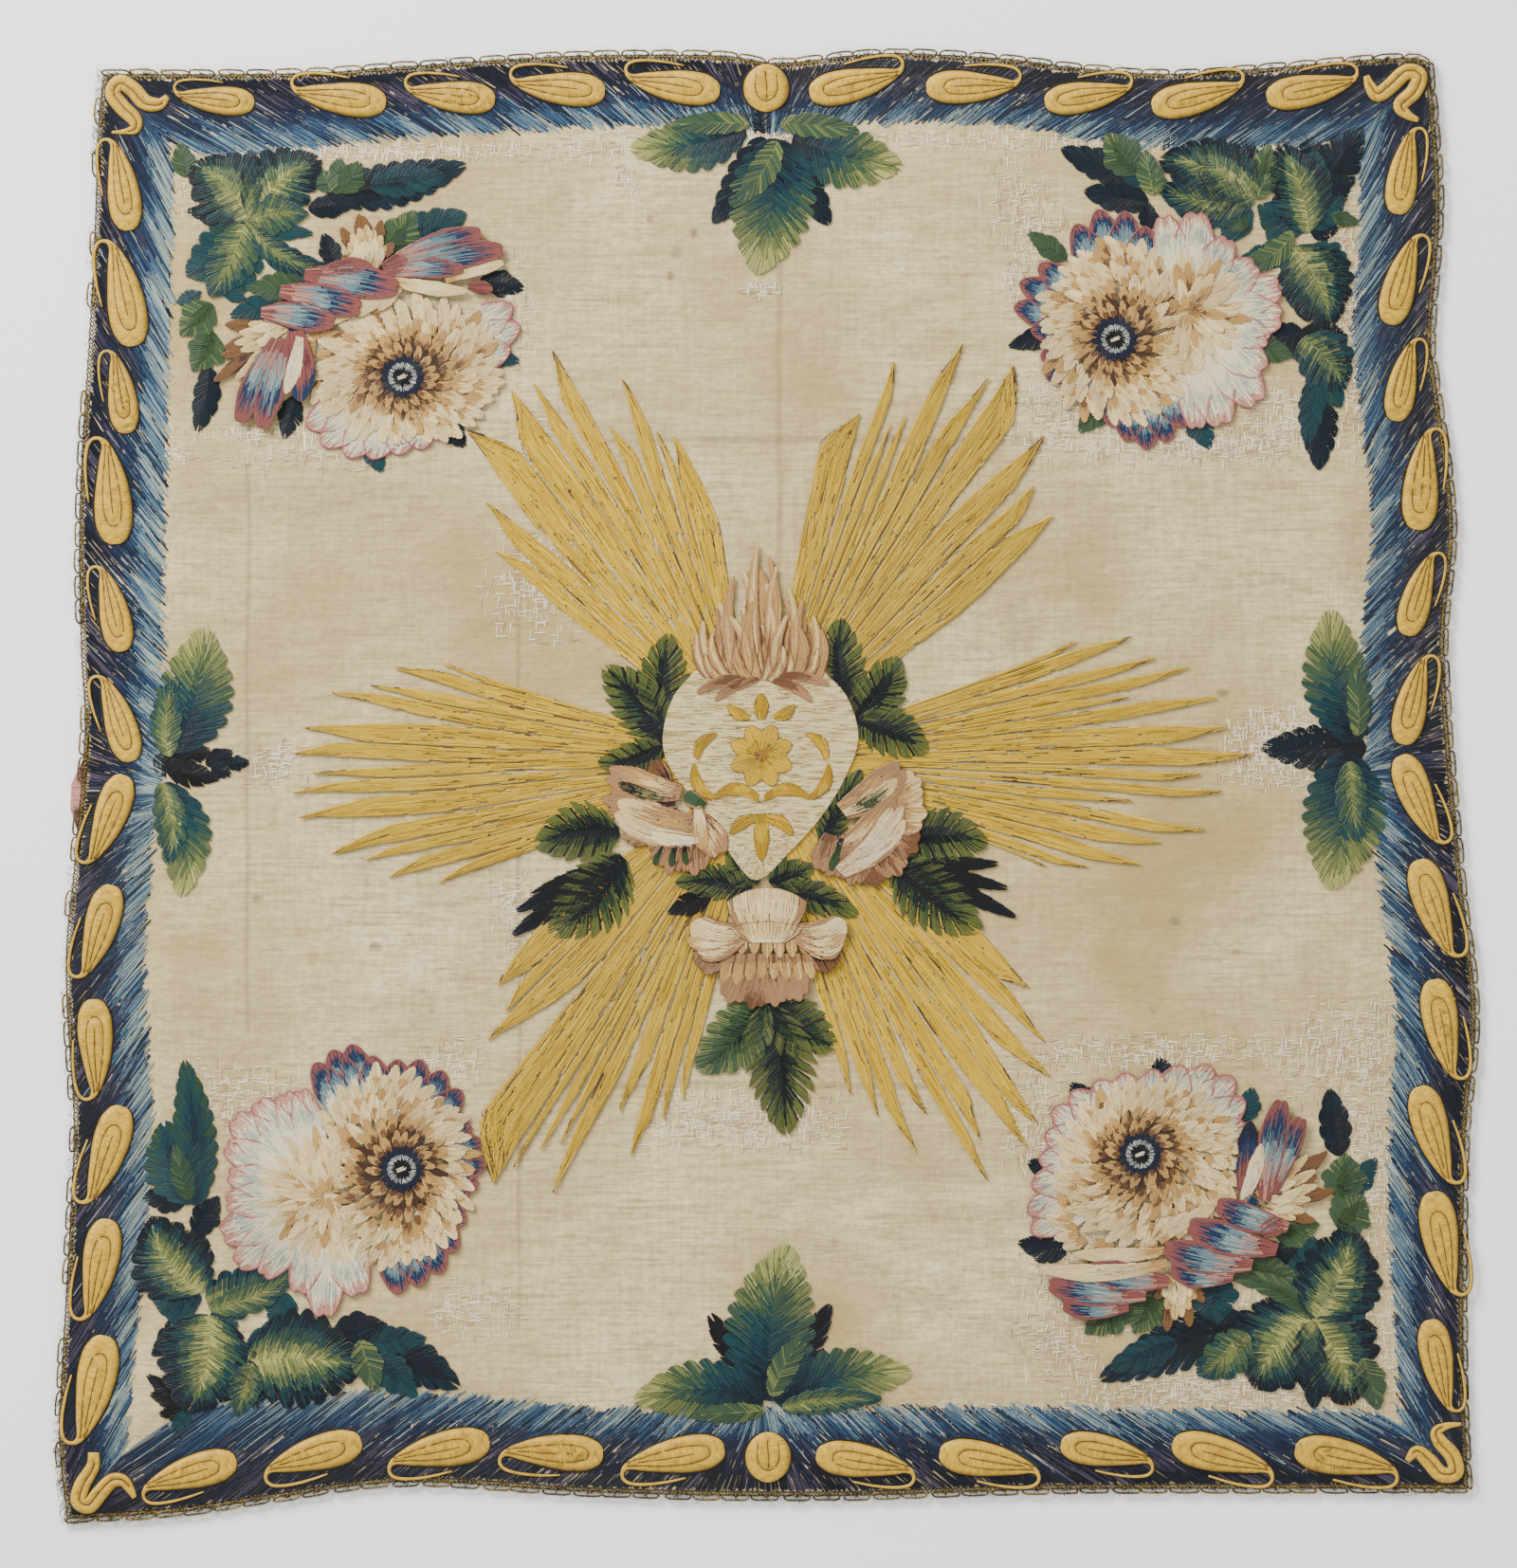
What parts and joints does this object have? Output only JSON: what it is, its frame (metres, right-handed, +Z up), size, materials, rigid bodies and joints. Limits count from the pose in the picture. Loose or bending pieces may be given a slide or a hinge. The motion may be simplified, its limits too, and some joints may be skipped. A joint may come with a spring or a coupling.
{
  "type": "chalice veil",
  "caption": "Square embroidered cloth with a padded border, metal-thread lace and a lining, laid flat; it covers a cup.",
  "frame": {"origin": "middle of the cloth's outline, on the surface that it lies on", "axes": "+Z up out of the embroidered face, +Y towards the top edge of the design, +X to the right"},
  "size_m": [0.5644, 0.5837, 0.0076],
  "materials": {
    "ground_silk": "aged cream ribbed silk, dull, with stains and old fold lines",
    "lining_silk": "faded pink silk",
    "metal_lace": "tarnished gilt thread lace",
    "gold_silk": "padded yellow silk with a fine cross weave, edged with dark brown cord",
    "silk_floss": "long stitches of glossy silk floss in blues, greens, creams and gold",
    "outline_cord": "dark brown silk cord sewn down as an outline",
    "mending_thread": "cream mending thread"
  },
  "bodies": {
    "root": {"lining": "lining_silk", "ground": "ground_silk", "lace_top": "metal_lace", "lace_left": "metal_lace", "lace_right": "metal_lace", "lace_bottom": "metal_lace", "pod_top_1": "gold_silk", "pod_top_2": "gold_silk", "pod_top_3": "gold_silk", "pod_top_4": "gold_silk", "pod_top_5": "gold_silk", "pod_top_6": "gold_silk", "pod_top_7": "gold_silk", "pod_top_8": "gold_silk", "pod_top_9": "gold_silk", "pod_top_10": "gold_silk", "pod_left_1": "gold_silk", "pod_left_2": "gold_silk", "pod_left_3": "gold_silk", "pod_left_4": "gold_silk", "pod_left_5": "gold_silk", "pod_left_6": "gold_silk", "pod_left_7": "gold_silk", "pod_left_8": "gold_silk", "pod_left_9": "gold_silk", "pod_left_10": "gold_silk", "pod_left_11": "gold_silk", "pod_left_12": "gold_silk", "pod_right_1": "gold_silk", "pod_right_2": "gold_silk", "pod_right_3": "gold_silk", "pod_right_4": "gold_silk", "pod_right_5": "gold_silk", "pod_right_6": "gold_silk", "pod_right_7": "gold_silk", "pod_right_8": "gold_silk", "pod_right_9": "gold_silk", "pod_right_10": "gold_silk", "pod_right_11": "gold_silk", "pod_right_12": "gold_silk", "pod_bottom_1": "gold_silk", "pod_bottom_2": "gold_silk", "pod_bottom_3": "gold_silk", "pod_bottom_4": "gold_silk", "pod_bottom_5": "gold_silk", "pod_bottom_6": "gold_silk", "pod_bottom_7": "gold_silk", "pod_bottom_8": "gold_silk", "pod_bottom_9": "gold_silk", "pod_bottom_10": "gold_silk", "boss_top": "gold_silk", "boss_bottom": "gold_silk", "scroll_top_left": "gold_silk", "scroll_top_right": "gold_silk", "scroll_bottom_left": "gold_silk", "scroll_bottom_right": "gold_silk"}
  },
  "joints": []
}
